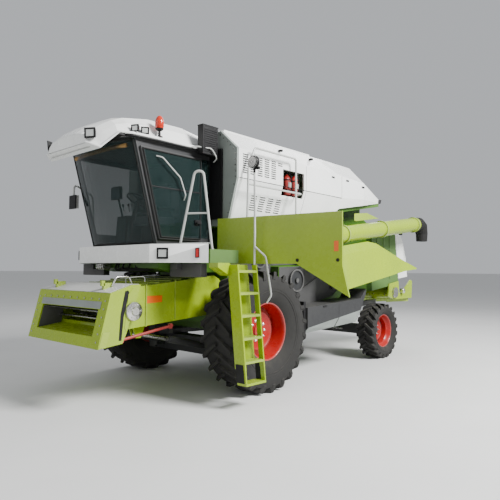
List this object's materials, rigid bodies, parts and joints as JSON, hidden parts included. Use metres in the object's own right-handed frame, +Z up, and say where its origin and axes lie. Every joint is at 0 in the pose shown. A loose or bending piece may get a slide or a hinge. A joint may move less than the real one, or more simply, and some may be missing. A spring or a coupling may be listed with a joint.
{
  "type": "combine harvester",
  "caption": "Self-propelled combine harvester without its header: hollow cab, tiltable feeder house, grain tank with lids, unloading auger, hinged side panels, steered rear wheels.",
  "frame": {"origin": "on the ground, below the middle of the bounding box at rest; the machine's middle plane is at X = -0.7367 m and its front axle at Y = -1.915 m, because the left front panel stands open", "axes": "+Z up, the front faces -Y, +X is the machine's left"},
  "size_m": [4.8734, 8.65, 3.99],
  "materials": {
    "lime_paint": "gloss",
    "dark_green_paint": "satin",
    "white_paint": "gloss",
    "grey_paint": "satin",
    "charcoal_paint": "satin",
    "red_paint": "gloss",
    "tyre_rubber": "matte",
    "bright_steel": "brushed",
    "tube_grey": "satin",
    "tinted_glass": "clear, tinted",
    "black_plastic": "matte",
    "seat_cloth": "woven",
    "rubber": "matte",
    "amber_lens": "gloss"
  },
  "bodies": {
    "chassis": {"front_axle": "charcoal_paint", "chassis_frame": "charcoal_paint", "main_body": "dark_green_paint", "tank_hood": "white_paint", "tank_front_wall": "grey_paint", "engine_block": "charcoal_paint", "straw_hood": "dark_green_paint", "straw_chopper": "lime_paint", "platform": "dark_green_paint", "cab_fascia": "white_paint", "ladder": "lime_paint", "platform_handrail": "tube_grey", "tank_handrail": "tube_grey", "ladder_handrail": "tube_grey", "cab_frame": "charcoal_paint", "windscreen": "tinted_glass", "glass_right": "tinted_glass", "glass_quarter": "tinted_glass", "cab_roof": "white_paint", "beacon": "amber_lens", "air_box": "black_plastic", "steering_column": "black_plastic", "seat_base": "charcoal_paint", "seat_cushion": "seat_cloth", "side_console": "black_plastic", "mirror_right": "tube_grey", "side_box_left": "charcoal_paint", "side_box_right": "charcoal_paint", "rear_axle": "charcoal_paint"},
    "wheel_front_left": {"front_left_tyre": "tyre_rubber", "front_left_rim": "red_paint"},
    "wheel_front_right": {"front_right_tyre": "tyre_rubber", "front_right_rim": "red_paint"},
    "wheel_rear_left": {"rear_left_tyre": "tyre_rubber", "rear_left_rim": "red_paint"},
    "wheel_rear_right": {"rear_right_tyre": "tyre_rubber", "rear_right_rim": "red_paint"},
    "steer_left": {"knuckle_left": "charcoal_paint"},
    "steer_right": {"knuckle_right": "charcoal_paint"},
    "lid_left": {"tank_lid_left": "white_paint"},
    "lid_right": {"tank_lid_right": "white_paint"},
    "tail_cover": {"rear_cover": "white_paint"},
    "door": {"cab_door": "charcoal_paint", "door_glass": "tinted_glass"},
    "feeder": {"feeder_house": "lime_paint", "feeder_frame": "lime_paint"},
    "drum": {"feed_drum": "charcoal_paint"},
    "barrel_left": {"lift_barrel_left": "charcoal_paint"},
    "barrel_right": {"lift_barrel_right": "charcoal_paint"},
    "rod_left": {"lift_rod_left": "bright_steel"},
    "rod_right": {"lift_rod_right": "bright_steel"},
    "panel_front_left": {"front_panel_left": "lime_paint"},
    "panel_front_right": {"front_panel_right": "lime_paint"},
    "panel_rear_left": {"rear_panel_left": "lime_paint"},
    "panel_rear_right": {"rear_panel_right": "lime_paint"},
    "auger": {"auger_tube": "lime_paint", "auger_spout": "rubber"}
  },
  "joints": [
    {"name": "front_wheel_left", "type": "hinge", "parent": "chassis", "child": "wheel_front_left", "pos_m": [0.63326, -1.915, 0.893], "axis": [1, 0, 0], "continuous": true},
    {"name": "steer_left", "type": "hinge", "parent": "chassis", "child": "steer_left", "pos_m": [0.26326, 2.035, 0.56], "axis": [0, 0, 1], "range_deg": [-40, 40]},
    {"name": "rear_wheel_left", "type": "hinge", "parent": "steer_left", "child": "wheel_rear_left", "pos_m": [0.53826, 2.035, 0.56], "axis": [1, 0, 0], "continuous": true},
    {"name": "tank_lid_left", "type": "hinge", "parent": "chassis", "child": "lid_left", "pos_m": [0.24826, -1.125, 3.955], "axis": [0, 1, 0], "range_deg": [0, 100]},
    {"name": "front_wheel_right", "type": "hinge", "parent": "chassis", "child": "wheel_front_right", "pos_m": [-2.10674, -1.915, 0.893], "axis": [1, 0, 0], "continuous": true},
    {"name": "steer_right", "type": "hinge", "parent": "chassis", "child": "steer_right", "pos_m": [-1.73674, 2.035, 0.56], "axis": [0, 0, 1], "range_deg": [-40, 40]},
    {"name": "rear_wheel_right", "type": "hinge", "parent": "steer_right", "child": "wheel_rear_right", "pos_m": [-2.01174, 2.035, 0.56], "axis": [1, 0, 0], "continuous": true},
    {"name": "tank_lid_right", "type": "hinge", "parent": "chassis", "child": "lid_right", "pos_m": [-1.72174, -1.125, 3.955], "axis": [0, -1, 0], "range_deg": [0, 100]},
    {"name": "tail_cover", "type": "hinge", "parent": "chassis", "child": "tail_cover", "pos_m": [-0.73674, 3.47, 2.8], "axis": [1, 0, 0], "range_deg": [0, 60]},
    {"name": "cab_door", "type": "hinge", "parent": "chassis", "child": "door", "pos_m": [0.13326, -3.325, 2.1], "axis": [0, 0.2609, -0.9654], "range_deg": [0, 60]},
    {"name": "feeder_lift", "type": "hinge", "parent": "chassis", "child": "feeder", "pos_m": [-0.73674, -2.335, 1.42], "axis": [-1, 0, 0], "range_deg": [-18, 6]},
    {"name": "feed_drum", "type": "hinge", "parent": "feeder", "child": "drum", "pos_m": [-0.73674, -3.635, 1.285], "axis": [1, 0, 0], "continuous": true},
    {"name": "lift_barrel_left", "type": "hinge", "parent": "chassis", "child": "barrel_left", "pos_m": [-0.13674, -2.165, 0.6], "axis": [-1, 0, 0], "range_deg": [-15, 6]},
    {"name": "lift_rod_left", "type": "slide", "parent": "barrel_left", "child": "rod_left", "axis": [0, -0.9738, 0.2275], "range_m": [-0.26, 0.09]},
    {"name": "lift_barrel_right", "type": "hinge", "parent": "chassis", "child": "barrel_right", "pos_m": [-1.33674, -2.165, 0.6], "axis": [-1, 0, 0], "range_deg": [-15, 6]},
    {"name": "lift_rod_right", "type": "slide", "parent": "barrel_right", "child": "rod_right", "axis": [0, -0.9738, 0.2275], "range_m": [-0.26, 0.09]},
    {"name": "front_panel_left", "type": "hinge", "parent": "chassis", "child": "panel_front_left", "pos_m": [0.51326, -2.188, 1.885], "axis": [0, 0, -1], "range_deg": [-82, 0]},
    {"name": "front_panel_right", "type": "hinge", "parent": "chassis", "child": "panel_front_right", "pos_m": [-1.98674, -2.188, 1.885], "axis": [0, 0, 1], "range_deg": [0, 82]},
    {"name": "rear_panel_left", "type": "hinge", "parent": "chassis", "child": "panel_rear_left", "pos_m": [0.81326, 0.065, 1.85], "axis": [0, 0, -1], "range_deg": [0, 80]},
    {"name": "rear_panel_right", "type": "hinge", "parent": "chassis", "child": "panel_rear_right", "pos_m": [-2.28674, -0.235, 1.85], "axis": [0, 0, 1], "range_deg": [0, 80]},
    {"name": "unloading_auger", "type": "hinge", "parent": "chassis", "child": "auger", "pos_m": [0.68326, -0.115, 2.2], "axis": [0, 0, -1], "range_deg": [0, 95]}
  ],
  "couplings": [
    {"joint": "steer_right", "follows": "steer_left", "ratio": 1},
    {"joint": "lift_barrel_left", "follows": "feeder_lift", "ratio": 0.79},
    {"joint": "lift_rod_left", "follows": "feeder_lift", "m_per_rad": 0.785},
    {"joint": "lift_barrel_right", "follows": "feeder_lift", "ratio": 0.79},
    {"joint": "lift_rod_right", "follows": "feeder_lift", "m_per_rad": 0.785}
  ]
}
